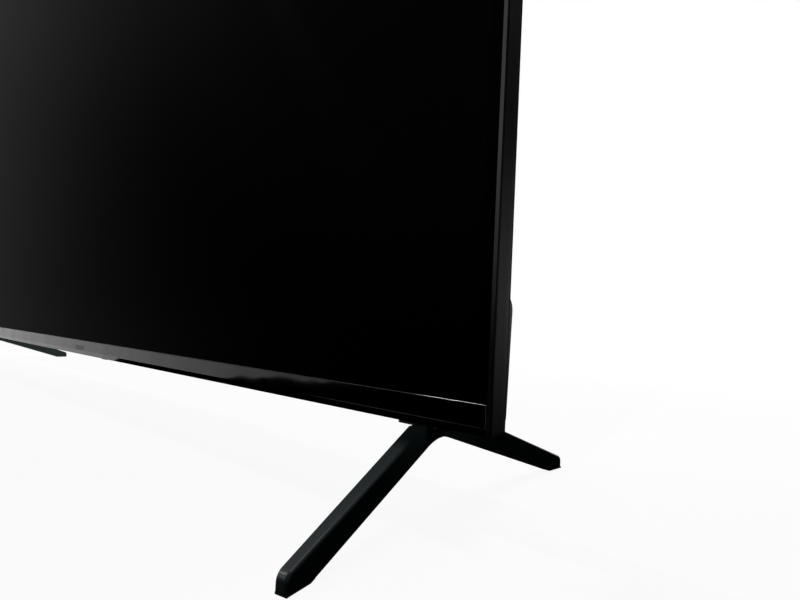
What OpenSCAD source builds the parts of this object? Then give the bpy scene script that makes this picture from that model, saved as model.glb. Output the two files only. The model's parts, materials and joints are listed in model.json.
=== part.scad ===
// Flat screen television on two splayed feet, with its panel, backlight, boards and speakers.
// Millimetres, +Z up. Origin on the floor, midway between the feet. The screen faces -Y.

/* [Cabinet] */
// Width of the cabinet
body_w = 1112; // [960:1:1300]
// Height of the cabinet without its feet
body_h = 645; // [560:1:760]
// Height of the cabinet's underside above the floor
floor_gap = 48.6; // [44:0.1:56]
// Distance from the middle of the feet forward to the cabinet's front
front_setback = 25; // [22:0.5:30]
// Depth of the thin side walls
side_depth = 15.4; // [14:0.1:20]
// Corner radius of the cabinet seen from the front
corner_r = 3; // [2:0.5:5]

/* [Front rim and chin] */
// Width of the rim seen from the front
rim_w = 3; // [2.2:0.1:3.4]
// Thickness of the rim's front strip
rim_t = 0.9; // [0.8:0.1:1.2]
// Set-back of the rim's hooked web from the cabinet's side
web_inset = 0.8; // [0.7:0.1:1]
// Thickness of the rim's hooked web
web_t = 0.8; // [0.6:0.1:1]
// How far the web reaches back from the front
web_reach = 7; // [5:0.5:9]
// Shadow gap between the rim and the rear cover
seam_gap = 0.5; // [0.5:0.1:1.2]
// Height of the chin strip under the screen
chin_h = 16.9; // [15:0.1:22]
// Distance from the cabinet's side to the end of the chin
chin_end = 3.5; // [3.2:0.1:5]
// Wall thickness of the chin
chin_wall = 2; // [1.6:0.1:2.4]
// Height of the chin's sloping lower edge
bevel_h = 4.5; // [3:0.5:6]
// How far the chin's lower edge slopes back
bevel_back = 1.4; // [0.8:0.1:2]
// Rounding of the chin's upper edge
edge_r = 0.6; // [0.4:0.1:0.8]
// Depth of the chin's bottom shelf
shelf_depth = 12; // [11:0.5:13]

/* [Panel and backlight] */
// Thickness of the screen panel
panel_t = 1.6; // [1.2:0.1:2]
// How far the panel tucks in behind the chin
panel_tuck = 3; // [2:0.5:4]
// Wall of the middle frame
frame_wall = 2; // [1.6:0.1:2.4]
// Width of the shelf that carries the panel
frame_shelf = 7.2; // [6:0.2:9]
// Thickness of each optical film
film_t = 0.4; // [0.3:0.1:0.5]
// Thickness of the diffuser plate
diffuser_t = 1.6; // [1.2:0.1:2]
// Sheet thickness of the backlight tray
tray_t = 1; // [0.8:0.1:1.2]
// Depth from the cabinet's front to the tray's floor
tray_floor = 20; // [19:0.5:21]
// Width of the tray's sloping border
tray_slope = 26; // [20:1:34]
// Width of the tray's flat flange
tray_flange = 9; // [7:0.5:12]
// Number of light strips
strip_count = 6; // [4:1:8]
// Number of lenses on each strip
lens_count = 8; // [5:1:10]
// Height of a light strip
strip_h = 14; // [12:1:20]
// Thickness of a light strip
strip_t = 1; // [0.8:0.1:1.6]
// Radius of a lens
lens_r = 7.5; // [6:0.5:9]
// Height of a lens
lens_h = 5.5; // [4:0.5:6]
// Thickness of the reflector sheet
reflector_t = 0.4; // [0.3:0.1:0.5]

/* [Rear cover] */
// Wall thickness of the rear cover
cover_wall = 2.4; // [2:0.1:2.8]
// Depth of the flat upper back
pan_depth = 27; // [25.5:0.5:32]
// Width of the sloping border round the upper back
pan_slope = 40; // [30:1:55]
// Height of the thick band along the bottom
band_h = 78; // [66:1:90]
// Depth of the band from the front
band_depth = 51.4; // [48:0.1:56]
// Distance from the cabinet's side to the end of the band
band_inset = 16.5; // [14:0.5:24]
// How far the band's back leans forward towards its foot
band_lean = 2.8; // [1:0.2:4]
// Chamfer along the band's lower back edge
band_chamfer = 2; // [2:0.5:6]
// Rounding of the band's upper back edge
band_round = 10.5; // [4:0.5:12]
// Width of the electronics housing
hub_w = 580; // [540:2:640]
// Height of the electronics housing
hub_h = 395; // [385:1:430]
// Depth of the electronics housing from the front
hub_depth = 62; // [60:0.5:70]
// How far the housing's top slopes inward
hub_slope = 22; // [14:1:34]
// How far the housing's lower edge is raised at the back
hub_rise = 14; // [8:1:20]
// Width of a vent slot
vent_w = 3; // [2:0.5:3.5]
// Length of a vent slot
vent_l = 30; // [20:1:36]
// Distance between vent slots
vent_pitch = 7; // [6:0.5:10]

/* [Wall mount] */
// Spacing of the wall-mount holes, across and up
vesa_pitch = 200; // [100:100:200]
// Height of the wall-mount pattern's middle above the cabinet's underside
vesa_z = 250; // [240:1:270]
// Radius of a wall-mount thread
vesa_r = 3; // [2:0.5:4]
// Outer radius of a wall-mount post
post_r = 7; // [6:0.5:9]
// Depth of the thread in a post
vesa_thread = 22; // [16:1:30]

/* [Feet] */
// Distance from the cabinet's side to a foot's middle
foot_inset = 49; // [44:1:70]
// Length of a leg from the middle of the foot to its tip
leg_l = 135; // [110:0.2:150]
// Angle at which the legs splay outward
toe_out = 9.3; // [0:0.1:14]
// Thickness of a leg at the middle of the foot
leg_root_t = 10; // [8:0.1:12]
// Thickness of a leg at its tip
leg_tip_t = 6; // [5:0.1:9]
// Height of a front tip's sharp upper corner
tip_h = 7.8; // [7:0.2:11]
// Height of a rear tip's sharp upper corner
rear_tip_h = 8.4; // [7:0.2:11]
// Slope of the front leg's upper edge, rise over run
front_rise = 0.388; // [0.35:0.002:0.42]
// Slope of the rear leg's upper edge, rise over run
rear_rise = 0.366; // [0.34:0.002:0.42]
// Length of the front leg's sole
front_sole = 14; // [8:0.2:16]
// Length of the rear leg's sole
rear_sole = 16.8; // [10:0.2:20]
// Height of the front leg's lower edge, carried to the middle of the foot
front_under = 45; // [40:0.1:46]
// Height of the rear leg's lower edge, carried to the middle of the foot
rear_under = 39.4; // [36:0.1:44]
// Radius of the arch where the legs meet
crotch_r = 48; // [30:1:60]
// Rounding of a tip's upper corner
tip_r = 5; // [3:0.5:5]
// Thickness of a rubber sole pad
pad_t = 1; // [0.6:0.1:1.6]
// Margin of the foot's top flange round its screw heads
flange_margin = 0.7; // [0.2:0.1:3]
// Length of the foot's top flange
flange_l = 49; // [44:0.5:49]
// Thickness of the foot's top flange
flange_t = 1.2; // [1.2:0.1:2]
// Width of the tongue that plugs into the cabinet
tongue_w = 8; // [6:0.5:9]
// Length of the tongue
tongue_l = 14; // [10:0.5:15]
// Height of the tongue
tongue_h = 26; // [18:0.5:30]
// Radius of a foot screw's shank
foot_screw_r = 2; // [1.5:0.1:2.2]
// Radius of a foot screw's head
foot_head_r = 3; // [2.8:0.1:3.6]
// Thickness of a foot bracket's plate
bracket_t = 3; // [2:0.1:4]
// How far a foot bracket's plate reaches inward from the foot's middle
bracket_in = 28; // [20:1:36]
// Height of a foot bracket's folded flange
bracket_h = 34; // [20:1:40]
// Thickness of the folded flange
bracket_fold = 2; // [1.5:0.1:3]

/* [Boards and ports] */
// Depth from the front to the boards
board_depth = 34; // [32:0.5:36]
// Thickness of a circuit board
board_t = 1.6; // [1.2:0.1:2]
// Width of the main board
main_w = 170; // [150:1:176]
// Height of the main board
main_h = 200; // [190:1:215]
// Width of the power board
power_w = 165; // [140:1:174]
// Height of the power board
power_h = 220; // [210:1:230]
// Height of the boards above the cabinet's underside
board_z = 96; // [90:1:104]
// Length of the port opening in the housing's side
port_l = 176; // [170:1:184]
// Distance between port centres
port_pitch = 21; // [20:0.5:22]

/* [Speakers] */
// Gap between a foot bracket and the speaker box beside it
speaker_gap = 4; // [2:0.5:40]
// Width of a speaker box
speaker_w = 150; // [120:1:160]
// Height of a speaker box
speaker_h = 50; // [46:0.5:52]
// Radius of a speaker cone
cone_r = 17; // [14:0.5:18]
// How far a cone travels each way
cone_travel = 1.5; // [0.5:0.1:2]

/* [Button and sensor] */
// Distance of the button from the middle of the set
button_x = 60; // [50:1:90]
// Length of the button
button_l = 16; // [12:0.5:20]
// Width of the button
button_w = 6; // [5:0.2:6.4]
// How far the button is pushed in
button_travel = 0.8; // [0.4:0.1:0.9]
// Width of the sensor window
sensor_w = 26; // [20:1:32]
// Height of the sensor window
sensor_h = 5; // [4:0.2:5.4]

/* [Hidden] */
$fn = 48;

// Clearance between neighbouring pieces
gap = 0.4;
// Clearance between thin stacked sheets
layer_gap = 0.2;
// Clearance of a screw in its thread
thread_clear = 0.05;
// Clearance of a screw in a through hole
hole_clear = 0.3;
// Clearance of a socket in its cut-out
socket_clear = 0.1;
// Free depth behind the middle frame
frame_clear = 1.4;
// Overshoot of a cut past the face it opens
over = 1;
// Lap of a foot's rounding over the straight edge that it meets
round_lap = 0.02;

half_w = body_w / 2;
top_z = floor_gap + body_h;
panel_front = rim_t + layer_gap;
panel_back = panel_front + panel_t;
panel_edge = web_inset + web_t + gap;
panel_low = floor_gap + chin_h - panel_tuck;
frame_drop = 1.5;
chin_stop = max(chin_end, rim_w + gap);
shelf_t = chin_wall;

frame_front = panel_back + layer_gap;
frame_edge = cover_wall + gap;
frame_low = panel_low - frame_drop;
frame_lip = 1;
stack_edge = frame_edge + frame_wall + gap;
stack_low = frame_low + frame_wall + gap;
film_front = frame_front + frame_lip + layer_gap;
film_pitch = film_t + layer_gap;
diffuser_front = film_front + 2 * film_pitch;
tray_front = diffuser_front + diffuser_t + layer_gap;
frame_back = side_depth - cover_wall - frame_clear;
tray_back = tray_floor + tray_t;
strip_front = tray_floor - strip_t;
reflector_front = strip_front - reflector_t - layer_gap;
tray_mouth = stack_edge + tray_flange;
tray_mouth_low = stack_low + tray_flange;
lamp_w = body_w - 2 * (tray_mouth + tray_slope);
lamp_low = tray_mouth_low + tray_slope;
lamp_h = top_z - tray_mouth - tray_slope - lamp_low;
strip_l = lamp_w - 2 * gap;
strip_pitch = lamp_h / strip_count;
lens_pitch = strip_l / lens_count;

cover_front = rim_t + seam_gap;
hub_half = hub_w / 2;
hub_top = floor_gap + hub_h;
hub_inside = hub_depth - cover_wall;
vesa_mid = floor_gap + vesa_z;
board_back = board_depth + board_t;
board_low = floor_gap + board_z;
port_face = hub_half;
port_mid = board_low + main_h / 2;
port_under = 1;
port_over = 15;
port_low_depth = board_back - port_under;
port_high_depth = board_back + port_over;
inlet_mid = board_low + power_h / 2;

foot_x = half_w - foot_inset;
sole_top = floor_gap - flange_t;
leg_top = mid(sole_top, floor_gap);
apex_h = max(tip_h + front_rise * leg_l, rear_tip_h + rear_rise * leg_l);
cover_low_back = band_depth - cover_wall - band_lean - band_chamfer + 0.4 * cover_wall;
tongue_y = mid(tray_back + bracket_fold, cover_low_back) - front_setback;
leg_reach_x = leg_root_t / 2 + (tongue_y + foot_head_r) * tan(toe_out);
foot_screw_x = leg_reach_x + foot_head_r + gap;
flange_w = 2 * (foot_screw_x + foot_head_r + flange_margin);
speaker_x = foot_x - bracket_in - speaker_gap - speaker_w / 2;
screw_rows = [0.25, 0.55, 0.9];
top_screws = [-0.5, 0, 0.5];
screw_margin = 30;
screw_inset = pan_slope + screw_margin;

function at(depth) = depth - front_setback;
function mid(low, high) = (low + high) / 2;
function port_z(slot) = port_mid + (slot - 3.5) * port_pitch;

// Rounded rectangle made of two bars and four discs
module round_rect(w, h, r) {
    square([w - 2 * r, h], center = true);
    square([w, h - 2 * r], center = true);
    for (x = [-1, 1], y = [-1, 1])
        translate([x * (w / 2 - r), y * (h / 2 - r)]) circle(r);
}

// Front-view outline pushed back into depth
module sheet(front, back) {
    translate([0, at(back), 0]) rotate([90, 0, 0]) linear_extrude(back - front) children();
}

// Side-view outline, depth across and height up, drawn out along the width
module run(left, right) {
    translate([left, 0, 0]) rotate([90, 0, 90]) linear_extrude(right - left) children();
}

// Plan-view outline raised in height
module rise(low, high) {
    translate([0, 0, low]) linear_extrude(high - low) children();
}

// Box given by its limits across, in depth and in height
module block(x, depth, z) {
    translate([x[0], at(depth[0]), z[0]])
        cube([x[1] - x[0], depth[1] - depth[0], z[1] - z[0]]);
}

// Round bar along the depth
module bar(x, z, front, back, r) {
    translate([x, at(back), z]) rotate([90, 0, 0]) cylinder(r = r, h = back - front);
}

// Front-view rectangle inset from the sides and the top, with its own lower limit
module area(inset, low) {
    translate([-half_w + inset, low]) square([body_w - 2 * inset, top_z - inset - low]);
}

module body_outline(inset) {
    translate([0, floor_gap + body_h / 2])
        round_rect(body_w - 2 * inset, body_h - 2 * inset, max(corner_r - inset, 0.5));
}

// Shallow pan that narrows from its mouth to its floor on all four sides
module pan_form(mouth, floor_, mouth_low, floor_low, front, back) {
    intersection() {
        rise(mouth_low, top_z - mouth)
            polygon([[-half_w + mouth, at(front)], [half_w - mouth, at(front)],
                [half_w - floor_, at(back)], [-half_w + floor_, at(back)]]);
        run(-half_w, half_w)
            polygon([[at(front), mouth_low], [at(front), top_z - mouth],
                [at(back), top_z - floor_], [at(back), floor_low]]);
    }
}

// Thin rim round the sides and top, hooked over the middle frame by a set-back web
module front_bezel() {
    web_in = web_inset + web_t;
    color("#4a4d50") difference() {
        union() {
            sheet(0, rim_t) body_outline(0);
            sheet(rim_t, web_reach) body_outline(web_inset);
        }
        sheet(-over, rim_t) area(rim_w, floor_gap - over);
        sheet(rim_t, web_reach + over) area(web_in, floor_gap - over);
    }
}

// Chin section: rounded upper edge, rebate for the panel, sloping lower edge and bottom shelf
module chin_section() {
    chin_top = floor_gap + chin_h;
    rebate = chin_top - panel_tuck - gap;
    polygon([[at(bevel_back), floor_gap], [at(0), floor_gap + bevel_h], [at(0), chin_top - edge_r],
        [at(edge_r), chin_top], [at(rim_t), chin_top], [at(rim_t), rebate], [at(chin_wall), rebate],
        [at(chin_wall), floor_gap + shelf_t], [at(shelf_depth), floor_gap + shelf_t],
        [at(shelf_depth), floor_gap]]);
    intersection() {
        translate([at(edge_r), chin_top - edge_r]) circle(edge_r);
        translate([at(0), chin_top - edge_r]) square(edge_r);
    }
}

sensor_rise = 0.8;
sensor_low = floor_gap + bevel_h + sensor_rise;
sensor_high = sensor_low + sensor_h;
button_shift = 0.5;
button_y = at(mid(bevel_back, shelf_depth) + button_shift);
button_room = 4.4;
button_board_low = floor_gap + shelf_t + button_room;
button_post_r = 1.5;
button_post_gap = 6;
button_post_x = button_l / 2 + button_post_gap;

module button_outline(grow) {
    translate([button_x, button_y])
        round_rect(button_l + 2 * grow, button_w + 2 * grow, button_w / 2 + grow - 0.01);
}

module bottom_trim() {
    color("#0b0c0d") union() {
        difference() {
            run(-half_w + chin_stop, half_w - chin_stop) chin_section();
            block([-sensor_w / 2, sensor_w / 2], [-over, chin_wall + over], [sensor_low, sensor_high]);
            rise(floor_gap - over, floor_gap + shelf_t + over) button_outline(gap);
        }
        for (side = [-1, 1])
            translate([button_x + side * button_post_x, button_y, floor_gap + shelf_t])
                cylinder(r = button_post_r, h = button_room);
    }
}

module lcd_panel() {
    color("#050506") sheet(panel_front, panel_back) area(panel_edge, panel_low);
}

source_lift = 1;
source_low = floor_gap + cover_wall + source_lift;
source_drop = 0.6;
source_high = frame_low - source_drop;
source_gap = 0.8;
source_front = frame_back + source_gap;
flex_count = 6;
flex_w = 40;
flex_set = 1;
source_stop = 60;
source_l = foot_x - source_stop;
source_start = 40;

// Driver boards under the backlight, one for each half of the panel
module source_boards() {
    color("#1f5a38") for (side = [0, 1]) mirror([side, 0, 0])
        block([source_start, source_start + source_l], [source_front, source_front + board_t],
            [source_low, source_high]);
}

// Film strips that lead from the panel's lower edge back to the driver boards
module panel_flexes() {
    flex_t = 0.2;
    flex_front = panel_front + flex_set;
    flex_pitch = source_l / flex_count;
    color("#b07a2a") for (side = [0, 1]) mirror([side, 0, 0])
        for (i = [0 : flex_count - 1])
            translate([source_start + flex_pitch * (i + 0.5) - flex_w / 2, 0, 0]) {
                run(0, flex_w)
                    polygon([[at(flex_front), panel_low], [at(flex_front), source_high],
                        [at(source_front), source_high], [at(source_front), source_high + flex_t],
                        [at(flex_front + flex_t), source_high + flex_t],
                        [at(flex_front + flex_t), panel_low]]);
            }
}

// Plastic frame: a wall all round and a shelf behind the panel's edge
module middle_frame() {
    color("#17181a") difference() {
        sheet(frame_front, frame_back) intersection() {
            area(frame_edge, frame_low);
            body_outline(frame_edge);
        }
        sheet(frame_front - over, frame_front + frame_lip)
            area(frame_edge + frame_shelf, frame_low + frame_shelf + frame_wall);
        sheet(frame_front + frame_lip, frame_back + over)
            area(frame_edge + frame_wall, frame_low + frame_wall);
    }
}

module optical_films() {
    color("#dfe6ea") for (i = [0, 1])
        sheet(film_front + i * film_pitch, film_front + i * film_pitch + film_t)
            area(stack_edge, stack_low);
}

module diffuser_plate() {
    color("#f2f2ee") sheet(diffuser_front, diffuser_front + diffuser_t) area(stack_edge, stack_low);
}

// Places of the lenses: across the strips and up the tray
module each_lens() {
    for (row = [0 : strip_count - 1], col = [0 : lens_count - 1])
        translate([-strip_l / 2 + lens_pitch * (col + 0.5), lamp_low + strip_pitch * (row + 0.5)])
            children();
}

module reflector_sheet() {
    color("#fafafa") sheet(reflector_front, reflector_front + reflector_t) difference() {
        translate([-strip_l / 2, lamp_low + gap]) square([strip_l, lamp_h - 2 * gap]);
        each_lens() circle(lens_r + 1);
    }
}

// Wide-angle lens: a dome with a dimple over the light
module led_lenses() {
    color("#eef3f6") translate([0, at(strip_front), 0]) rotate([90, 0, 0])
        each_lens() difference() {
            intersection() {
                cylinder(r = lens_r, h = lens_h);
                translate([0, 0, lens_h - lens_r * 1.6]) sphere(lens_r * 1.6);
            }
            translate([0, 0, lens_h + lens_r * 0.3]) sphere(lens_r * 0.5);
        }
}

module led_strips() {
    color("#e6e4da") for (row = [0 : strip_count - 1])
        sheet(strip_front, tray_floor)
            translate([0, lamp_low + strip_pitch * (row + 0.5)]) square([strip_l, strip_h], center = true);
}

// Places of the screws that hold the rear cover to the tray
module each_cover_screw() {
    for (side = [-1, 1], share = screw_rows)
        translate([side * (half_w - screw_inset),
            floor_gap + band_h + share * (body_h - band_h - screw_inset)]) children();
    for (share = top_screws) translate([share * half_w, top_z - screw_inset]) children();
}

module each_vesa() {
    for (x = [-1, 1], z = [-1, 1])
        translate([x * vesa_pitch / 2, vesa_mid + z * vesa_pitch / 2]) children();
}

standoff_r = 3.5;
standoff_inset = 8;
bead_r = 6;
bead_out = 60;
bead_end = 60;
bead_clear = 1.4;
boss_r = 4;

// Corner stand-offs of a board given by its limits across and in height
module board_standoffs(x, z) {
    for (i = [0, 1], k = [0, 1])
        bar(x[i] + (1 - 2 * i) * standoff_inset, z[k] + (1 - 2 * k) * standoff_inset,
            tray_back, board_depth, standoff_r);
}

board_edge = 1;
main_x = [hub_half - cover_wall - board_edge - main_w, hub_half - cover_wall - board_edge];
main_z = [board_low, board_low + main_h];
power_x = [-hub_half + cover_wall + board_edge, -hub_half + cover_wall + board_edge + power_w];
power_z = [board_low, board_low + power_h];
tcon_w = 120;
tcon_h = 60;
tcon_z = [vesa_mid - tcon_h / 2, vesa_mid + tcon_h / 2];
tcon_lift = 5;
tcon_depth = tray_back + tcon_lift;

// Pressed steel tray with sloping borders, stiffening beads, stand-offs and screw bosses
module backlight_tray() {
    bead_h = pan_depth - cover_wall - tray_back - bead_clear;
    color("#a9adb0") difference() {
        union() {
            difference() {
                union() {
                    sheet(tray_front, tray_front + tray_t) area(stack_edge, stack_low);
                    pan_form(tray_mouth - tray_t, tray_mouth + tray_slope - tray_t,
                        tray_mouth_low - tray_t, lamp_low - tray_t, tray_front, tray_back);
                }
                pan_form(tray_mouth, tray_mouth + tray_slope, tray_mouth_low, lamp_low,
                    tray_front - 0.01, tray_floor);
            }
            for (side = [-1, 1])
                translate([side * (hub_half + bead_out), at(tray_back + bead_h - bead_r),
                    lamp_low + bead_end]) intersection() {
                        cylinder(r = bead_r, h = lamp_h - 2 * bead_end);
                        translate([-bead_r, bead_r - bead_h, 0])
                            cube([2 * bead_r, bead_h, lamp_h - 2 * bead_end]);
                    }
            board_standoffs(main_x, main_z);
            board_standoffs(power_x, power_z);
            for (x = [-1, 1], z = [0, 1])
                bar(x * (tcon_w / 2 - standoff_inset), tcon_z[z] + (1 - 2 * z) * standoff_inset,
                    tray_back, tcon_depth, standoff_r);
            sheet(tray_back, pan_depth - cover_wall) each_cover_screw() circle(boss_r);
        }
        sheet(tray_floor + 0.2, pan_depth) each_cover_screw() circle(screw_r);
    }
}

screw_r = 1.5;
screw_head_r = 3.4;
screw_head_t = 1.4;
recess_t = 0.8;

// Cross recess of a screw head
module screw_cross(head_r) {
    square([head_r * 1.3, head_r * 0.28], center = true);
    square([head_r * 0.28, head_r * 1.3], center = true);
}

// Section of the thick bottom band, drawn smaller all round by a wall
module band_section(wall) {
    low = floor_gap + wall;
    high = floor_gap + band_h - wall;
    back = band_depth - wall;
    round_in = band_round - wall / 2;
    chamfer = band_chamfer - wall * 0.4;
    slope_top = high + (back - side_depth) * 0.28;
    polygon([[at(side_depth - 4), low], [at(side_depth - 4), slope_top],
        [at(back - round_in), high], [at(back), high - round_in],
        [at(back - band_lean), low + chamfer], [at(back - band_lean - chamfer), low]]);
    translate([at(back - round_in), high - round_in]) circle(round_in);
}

// Section of the electronics housing
module hub_section(wall) {
    low = floor_gap + wall;
    polygon([[at(side_depth), low], [at(side_depth), hub_top + hub_slope - wall],
        [at(pan_depth - wall), hub_top + hub_slope - wall], [at(hub_depth - wall), hub_top - wall],
        [at(hub_depth - wall), low + hub_rise + band_chamfer], [at(band_depth - band_lean - wall), low]]);
}

// Whole rear cover as a solid, or its hollow when drawn smaller by a wall
module cover_form(wall) {
    front = wall > 0 ? -over : cover_front;
    sheet(front, side_depth - wall) body_outline(wall);
    pan_form(wall, pan_slope, floor_gap + wall, floor_gap + wall, side_depth - wall, pan_depth - wall);
    run(-half_w + band_inset + wall, half_w - band_inset - wall) band_section(wall);
    run(-hub_half + wall, hub_half - wall) hub_section(wall);
}

speaker_z = floor_gap + cover_wall + 4 + speaker_h / 2;
slot_pitch = 4.5;
slot_w = 2;
slot_count = 9;

// Vertical slots in front of each speaker cone
module speaker_slots() {
    for (side = [-1, 1], i = [0 : slot_count - 1])
        translate([side * speaker_x + (i - (slot_count - 1) / 2) * slot_pitch, speaker_z])
            square([slot_w, sqrt(pow(cone_r + 4, 2) - pow((i - (slot_count - 1) / 2) * slot_pitch, 2)) * 1.7],
                center = true);
}

vent_edge = 30;
vent_top = 14;
vent_row_gap = 6;
vent_field = hub_half - vent_edge - vesa_pitch / 2 - post_r - vent_pitch;
vent_count = floor(vent_field / vent_pitch);

// Two fields of upright vents above the boards
module hub_vents() {
    for (side = [-1, 1], i = [0 : vent_count - 1], row = [0, 1])
        translate([side * (hub_half - vent_edge - vent_pitch * i),
            hub_top - vent_top - vent_l / 2 - row * (vent_l + vent_row_gap)])
            round_rect(vent_w, vent_l, vent_w / 2 - 0.01);
}

// Moulded rear shell with its vents, ports, wall-mount holes and foot slots
module rear_cover() {
    color("#1b1c1e") difference() {
        cover_form(0);
        cover_form(cover_wall);
        sheet(-over, web_reach + gap) body_outline(web_inset - 0.2);
        block([-half_w + cover_wall, half_w - cover_wall], [-over, shelf_depth + gap],
            [floor_gap - over, floor_gap + chin_h + over]);
        sheet(hub_inside - over, hub_depth + over) each_vesa() circle(post_r + gap);
        sheet(hub_inside - over, hub_depth + over) hub_vents();
        sheet(band_depth - cover_wall - band_lean - over, band_depth + over) speaker_slots();
        sheet(pan_depth - cover_wall - over, pan_depth + over) each_cover_screw()
            circle(screw_r + hole_clear);
        sheet(pan_depth - screw_head_t - 0.1, pan_depth + over) each_cover_screw()
            circle(screw_head_r + gap);
        block([hub_half - cover_wall - over, hub_half + over], [port_low_depth, port_high_depth],
            [port_mid - port_l / 2, port_mid + port_l / 2]);
        block([-hub_half - over, -hub_half + cover_wall + over],
            [inlet_depth[0] - socket_clear, inlet_depth[1] + socket_clear],
            [inlet_z[0] - socket_clear, inlet_z[1] + socket_clear]);
        for (side = [-1, 1]) translate([side * foot_x, 0]) {
            rise(floor_gap - over, floor_gap + cover_wall + over) translate([0, tongue_y])
                square([tongue_w + 2 * gap, tongue_l + 2 * gap], center = true);
            rise(floor_gap - over, floor_gap + cover_wall + over) each_foot_screw()
                circle(foot_screw_r + hole_clear);
        }
    }
}

module cover_screws() {
    color("#2a2b2d") {
        sheet(pan_depth - screw_head_t, pan_depth - recess_t) each_cover_screw() circle(screw_head_r);
        sheet(pan_depth - recess_t, pan_depth) each_cover_screw() difference() {
            circle(screw_head_r);
            screw_cross(screw_head_r);
        }
        sheet(tray_back, pan_depth - screw_head_t) each_cover_screw() circle(screw_r - thread_clear);
    }
}

// Steel posts from the tray to the cover's back, threaded for a wall mount
module vesa_posts() {
    color("#c3c6c9") difference() {
        sheet(tray_back, hub_depth) each_vesa() circle(post_r);
        sheet(hub_depth - vesa_thread, hub_depth + over) each_vesa() circle(vesa_r);
    }
}

hdmi_slots = [0, 1, 2];
usb_slots = [3, 4];
lan_slot = 5;
audio_slot = 6;
antenna_slot = 7;
hdmi_size = [15, 6.2];
usb_size = [14.4, 7];
lan_size = [16, 13.4];
audio_size = [8, 8];
antenna_size = [12, 12];
socket_l = 13;

// Block of a socket at the port face: height along the board, and depth off the board
module socket_block(slot, size, grow) {
    block([port_face - socket_l - grow, port_face + (grow > 0 ? over : 0)],
        [board_back - grow, board_back + size[1] + grow],
        [port_z(slot) - size[0] / 2 - grow, port_z(slot) + size[0] / 2 + grow]);
}

// Mouth of a socket: an outline of height and depth about the block's middle, cut into the block
module socket_mouth(slot, size, length) {
    translate([port_face - length, at(board_back + size[1] / 2), port_z(slot)])
        rotate([90, 0, 90]) linear_extrude(length + over) children();
}

module terminal_plate() {
    color("#242628") difference() {
        block([hub_half - cover_wall, hub_half],
            [port_low_depth + socket_clear, port_high_depth - socket_clear],
            [port_mid - port_l / 2 + socket_clear, port_mid + port_l / 2 - socket_clear]);
        for (slot = hdmi_slots) socket_block(slot, hdmi_size, socket_clear);
        for (slot = usb_slots) socket_block(slot, usb_size, socket_clear);
        socket_block(lan_slot, lan_size, socket_clear);
        socket_block(audio_slot, audio_size, socket_clear);
        socket_block(antenna_slot, antenna_size, socket_clear);
    }
}

module main_board() {
    color("#1d5c3a") difference() {
        block(main_x, [board_depth, board_back], main_z);
        sheet(board_depth - over, board_back + over) each_vesa() circle(post_r + gap);
    }
}

chip_w = 30;
chip_t = 2;
chip_x = main_x[0] + 2 * chip_w;
chip_z = board_low + main_h / 2 + 20;
memory_size = [10, 1.4, 11];
memory_pitch = 15;
memory_x = chip_x + chip_w / 2 + 11;
memory_z = chip_z - 28;
can_r = 4.5;
can_h = 6;
can_pitch = 16;
can_at = [20, 34];
coil_size = [12, 4.6, 12];
coil_pitch = 22;
coil_at = [18, 50];

// Box on a board: its lower corner across and in height, and its size across, off the board and up
module board_box(x, z, size) {
    block([x, x + size[0]], [board_back, board_back + size[1]], [z, z + size[2]]);
}

// Chips, coils and capacitors on the main board
module main_board_parts() {
    color("#2b2c2f") {
        board_box(chip_x - chip_w / 2, chip_z - chip_w / 2, [chip_w, chip_t, chip_w]);
        for (i = [0 : 3]) board_box(memory_x, memory_z + i * memory_pitch, memory_size);
        for (i = [0 : 4])
            bar(main_x[0] + can_at[0] + i * can_pitch, board_low + can_at[1],
                board_back, board_back + can_h, can_r);
        for (i = [0 : 2])
            board_box(main_x[0] + coil_at[0] + i * coil_pitch, board_low + coil_at[1], coil_size);
    }
}

fin_count = 9;
fin_t = 1.6;
sink_w = 44;
sink_h = 12;
sink_base = 2.5;

// Finned cooler on the main chip
module heat_sink() {
    base = board_back + chip_t;
    fin_pitch = (sink_w - fin_t) / (fin_count - 1);
    left = chip_x - sink_w / 2;
    z = [chip_z - sink_w / 2, chip_z + sink_w / 2];
    color("#9a9ea2") union() {
        block([left, left + sink_w], [base, base + sink_base], z);
        for (i = [0 : fin_count - 1])
            block([left + i * fin_pitch, left + i * fin_pitch + fin_t], [base, base + sink_h], z);
    }
}

module power_board() {
    color("#c9a45a") difference() {
        block(power_x, [board_depth, board_back], power_z);
        sheet(board_depth - over, board_back + over) each_vesa() circle(post_r + gap);
    }
}

transformer_size = [32, 20, 32];
transformer_pitch = 42;
transformer_at = [74, 60];
drum_r = 9;
drum_l = 34;
drum_pitch = 30;
drum_at = [36, 140];
cooler_size = [3, 18, 32];
cooler_pitch = 50;
cooler_at = [60, 20];
choke_r = 6;
choke_h = 14;
choke_pitch = 28;
choke_at = [40, 200];

// Transformers, lying reservoir capacitors, cooling plates and chokes of the power supply
module power_parts() {
    left = power_x[0];
    color("#3a3c40") {
        for (i = [0, 1])
            board_box(left + transformer_at[0] + i * transformer_pitch, board_low + transformer_at[1],
                transformer_size);
        for (i = [0 : 2])
            translate([left + drum_at[0] + i * drum_pitch, at(board_back + drum_r), board_low + drum_at[1]])
                cylinder(r = drum_r, h = drum_l);
        for (i = [0, 1])
            board_box(left + cooler_at[0] + i * cooler_pitch, board_low + cooler_at[1], cooler_size);
        for (i = [0 : 3])
            bar(left + choke_at[0] + i * choke_pitch, board_low + choke_at[1],
                board_back, board_back + choke_h, choke_r);
    }
}

module tcon_board() {
    color("#23583b") block([-tcon_w / 2, tcon_w / 2], [tcon_depth, tcon_depth + board_t], tcon_z);
}

ribbon_lap = 13;
ribbon_ease = 2;
ribbon_climb = 14;

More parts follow.
